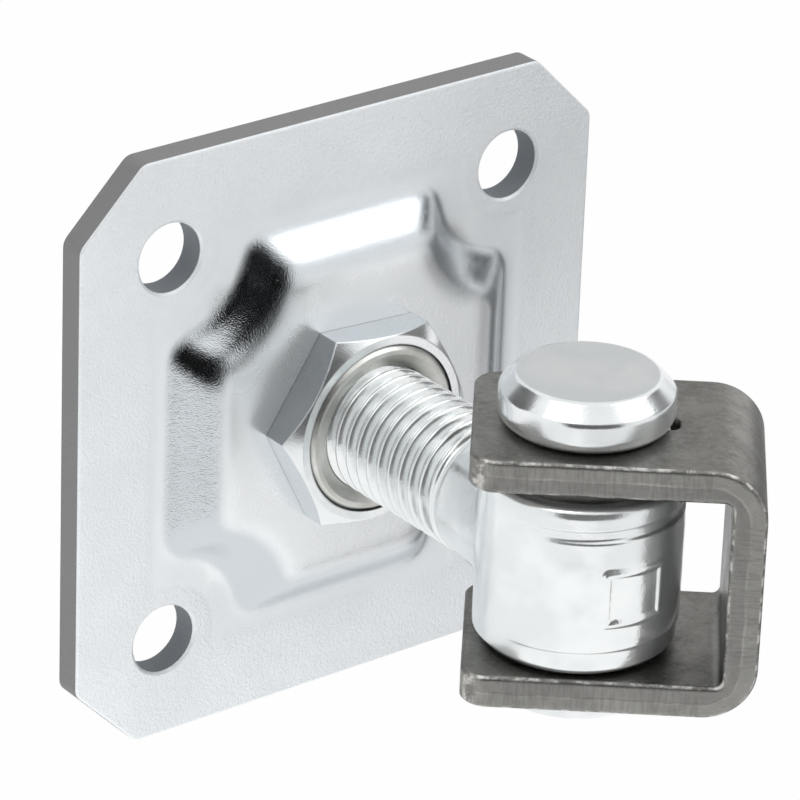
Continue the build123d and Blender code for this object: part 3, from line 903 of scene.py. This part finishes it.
# %% Finishes: ring, bushes and washer
across_stud = (1, 0, 1)
across_pin = (1, 1, 0)
cream_ring = turned_metal(
    "cream_ring", (0.82, 0.82, 0.79, 1), (0.68, 0.68, 0.64, 1), 0.36, (0, 0, 0), across_stud,
)
bush_bronze = turned_metal(
    "bush_bronze", (0.42, 0.30, 0.17, 1), (0.30, 0.21, 0.12, 1), 0.38, pin_foot, across_pin,
)
dark_washer = turned_metal(
    "dark_washer", (0.24, 0.24, 0.23, 1), (0.15, 0.15, 0.14, 1), 0.45, pin_foot, across_pin,
)
print("turned finishes:", cream_ring.name, bush_bronze.name, dark_washer.name)

# %% [markdown]
# ## Give every part its finish
#
# A measured part keeps its mesh, so its finish goes into its material slots.

# %% Assign the finishes
finishes = {
    "wall_plate": zinc_sheet,
    "adjusting_nut": zinc_nut,
    "nut_ring": cream_ring,
    "nut_washer": zinc_turned,
    "nut_circlip": spring_steel,
    "eyebolt": zinc_forged,
    "upper_bush": bush_bronze,
    "lower_bush": bush_bronze,
    "thrust_washer": dark_washer,
    "gate_bracket": raw_steel,
    "hinge_pin": zinc_turned,
    "retaining_disc": zinc_turned,
}
for node_name, finish in finishes.items():
    part = frame["nodes"][node_name]
    part.data.materials.clear()
    part.data.materials.append(finish)
eyebolt_forging.data.materials.append(zinc_forged)
print(len(finishes), "parts finished")

# %% [markdown]
# ## Floor and studio
#
# Metal looks like what stands round it. The hinge was lit in a white tent, with a few darker
# things in the room that give the zinc its contrast. So the world is white to the camera and
# to reflections, and a plainer level lights the rest. The floor is treated alike and lies far
# below the hinge, as in a picture of something held up. A sheet is a grid of u and v in the
# plane that faces a given point, and every direction is given as the camera's is: an azimuth
# from straight in front of the plate and an elevation.


# %% Stage: directions and flat sheets
def direction(azimuth, elevation):
    """Unit vector whose level parts are the azimuth's sine and minus its cosine, both times the
    elevation's cosine, and whose upright part is the elevation's sine."""
    azimuth, elevation = np.radians(azimuth), np.radians(elevation)
    level = np.cos(elevation)
    return Vector((np.sin(azimuth) * level, -np.cos(azimuth) * level, np.sin(elevation)))


def stage_sheet(name, centre, facing, width, height, finish, columns=8, rows=8):
    """A flat grid: centre + u * width + v * height, in the plane that faces the given point."""
    normal = (Vector(facing) - Vector(centre)).normalized()
    upright_sheet = abs(normal.z) <= 0.99
    side = (Vector((0, 0, 1)).cross(normal) if upright_sheet else normal.orthogonal()).normalized()
    up = normal.cross(side)
    u, v = np.meshgrid(np.linspace(-0.5, 0.5, columns), np.linspace(-0.5, 0.5, rows))
    points = np.array(centre) + u[..., None] * width * np.array(side)
    points = points + v[..., None] * height * np.array(up)
    index = np.arange(columns * rows).reshape(rows, columns)
    faces = np.stack([index[:-1, :-1], index[:-1, 1:], index[1:, 1:], index[1:, :-1]], axis=-1)
    mesh = bpy.data.meshes.new(name)
    mesh.from_pydata(points.reshape(-1, 3).tolist(), [], faces.reshape(-1, 4).tolist())
    mesh.materials.append(finish)
    sheet = bpy.data.objects.new(name, mesh)
    bpy.context.collection.objects.link(sheet)
    return sheet


print("straight in front of the plate:", tuple(direction(0, 0)))


# %% Floor
def seen_by_sight(tree):
    """1 for camera, glossy and transmission rays, else 0."""
    path = add(tree, "ShaderNodeLightPath")
    seen = arithmetic(tree, "MAXIMUM", path.outputs["Is Camera Ray"], path.outputs["Is Glossy Ray"])
    return arithmetic(tree, "MAXIMUM", seen, path.outputs["Is Transmission Ray"])


floor_white = 0.97
floor_height = -0.75
floor_finish = bpy.data.materials.new("studio_floor")
floor_finish.use_nodes = True
floor_tree = floor_finish.node_tree
floor_shader = floor_tree.nodes["Principled BSDF"]
floor_shader.inputs["Base Color"].default_value = (0.9, 0.9, 0.9, 1)
floor_shader.inputs["Roughness"].default_value = 0.9
floor_share = arithmetic(floor_tree, "MULTIPLY", seen_by_sight(floor_tree), floor_white)
plain_white = add(floor_tree, "ShaderNodeEmission", color=(1, 1, 1, 1), strength=1.0).outputs[0]
floor_surface = add(
    floor_tree, "ShaderNodeMixShader", in_0=floor_share, in_1=floor_shader.outputs[0], in_2=plain_white,
).outputs[0]
floor_tree.links.new(floor_surface, floor_tree.nodes["Material Output"].inputs["Surface"])
stage_sheet("studio_floor", (0, 0, floor_height), (0, 0, 10), 8.0, 8.0, floor_finish)
print(f"floor: {-floor_height / mm:.0f} mm below the hinge")

# %% [markdown]
# ## Cards
#
# The dark streaks in the zinc tell where the darker things stood: a big one behind the
# camera, whose reflection blackens the upper left bite of the pressed form, one in front on
# the right, and two behind the wall. A small grey card near the plate's right side darkens
# that side in reflections and also keeps some light off it. Cards reflect in the metal, but
# the camera doesn't see them and, apart from the small one, they neither light nor shade.


# %% Cards round the hinge
def card(name, azimuth, elevation, distance, width, height, level):
    """A card of an even brightness that faces the hinge from the given direction."""
    paint = bpy.data.materials.new(name)
    paint.use_nodes = True
    glow = add(paint.node_tree, "ShaderNodeEmission", color=(1, 1, 1, 1), strength=level).outputs[0]
    paint.node_tree.links.new(glow, paint.node_tree.nodes["Material Output"].inputs["Surface"])
    centre = direction(azimuth, elevation) * distance
    sheet = stage_sheet(name, centre, (0, 0, 0), width, height, paint)
    sheet.visible_camera = False
    sheet.visible_diffuse = False
    sheet.visible_shadow = False
    return sheet


card("card_behind_camera", -30, 14, 1.6, 2.2, 2.0, 0.008)
card("card_front_right", 72, 22, 1.5, 0.85, 0.62, 0.12)
card("card_near_right", 74, -22, 0.24, 0.27, 0.24, 0.22).visible_diffuse = True
card("card_back_left", -150, 33, 1.5, 0.8, 0.8, 0.03)
card("card_back_right", 141, 27, 1.5, 0.9, 0.7, 0.62)
card_names = sorted(item.name for item in bpy.data.objects if item.name.startswith("card_"))
print("cards:", ", ".join(card_names))

# %% [markdown]
# ## Light
#
# The world gives most of the light: three quarters of white to surfaces, and white to the
# camera and to reflections. Two large soft lamps above add a little direction. A small lamp
# low on the left brightens the plate's lower left, as a reflector on a table would, and it
# doesn't show in the metal. Each lamp is given the radiance of its face, so that its size can
# change without changing how bright it looks.

# %% World
world_level = 0.75
world = bpy.data.worlds.new("white_tent")
world.use_nodes = True
world_tree = world.node_tree
level = arithmetic(world_tree, "MULTIPLY_ADD", seen_by_sight(world_tree), 1 - world_level, world_level)
background = world_tree.nodes["Background"]
background.inputs["Color"].default_value = (1, 1, 1, 1)
world_tree.links.new(level, background.inputs["Strength"])
bpy.context.scene.world = world
print(f"world: {world_level} to surfaces, 1 to sight")


# %% Lamps
def soft_lamp(name, azimuth, elevation, distance, size, radiance):
    """A square lamp that faces the hinge, whose power gives its face the stated radiance."""
    way = direction(azimuth, elevation)
    lamp = bpy.data.lights.new(name, "AREA")
    lamp.size = size
    lamp.energy = radiance * np.pi * size**2
    holder = bpy.data.objects.new(name, lamp)
    holder.location = way * distance
    holder.rotation_euler = way.to_track_quat("Z", "Y").to_euler()
    bpy.context.collection.objects.link(holder)
    print(f"{name}: {lamp.energy:.2f} W")
    return holder


soft_lamp("lamp_above_right", 50, 50, 1.4, 0.75, 1.7)
soft_lamp("lamp_above_left", -80, 60, 1.4, 0.7, 1.1)
soft_lamp("fill_low_left", -38, -30, 0.33, 0.15, 6.5).visible_glossy = False

# %% [markdown]
# ## Camera
#
# The camera stands a little above the hinge and to its left, with a long lens. Its place
# comes from an azimuth, an elevation and a distance to the point that it looks at, and a
# slight roll, as the photograph was taken.

# %% Set the camera
back = direction(-38.59, 25.77)
view_roll = np.radians(2.19)
view_distance = 834.6 * mm
view_target = Vector((8.2, -9.5, 0.0)) * mm
focal_pixels = 5502.5
frame_pixels = 800
level_right = Vector((0, 0, 1)).cross(back).normalized()
level_up = back.cross(level_right)
right = level_right * np.cos(view_roll) + level_up * np.sin(view_roll)
up = back.cross(right)
camera = bpy.data.cameras.new("camera")
camera.sensor_width = 36.0
camera.lens = focal_pixels / frame_pixels * camera.sensor_width
camera.clip_start = 0.01
holder = bpy.data.objects.new("camera", camera)
turn_matrix = Matrix((right, up, back)).transposed().to_4x4()
holder.matrix_world = Matrix.Translation(view_target + back * view_distance) @ turn_matrix
bpy.context.collection.objects.link(holder)
bpy.context.scene.camera = holder
bpy.context.scene.view_settings.view_transform = "Standard"
print(f"lens {camera.lens:.1f} mm, right {tuple(round(v, 3) for v in right)}")
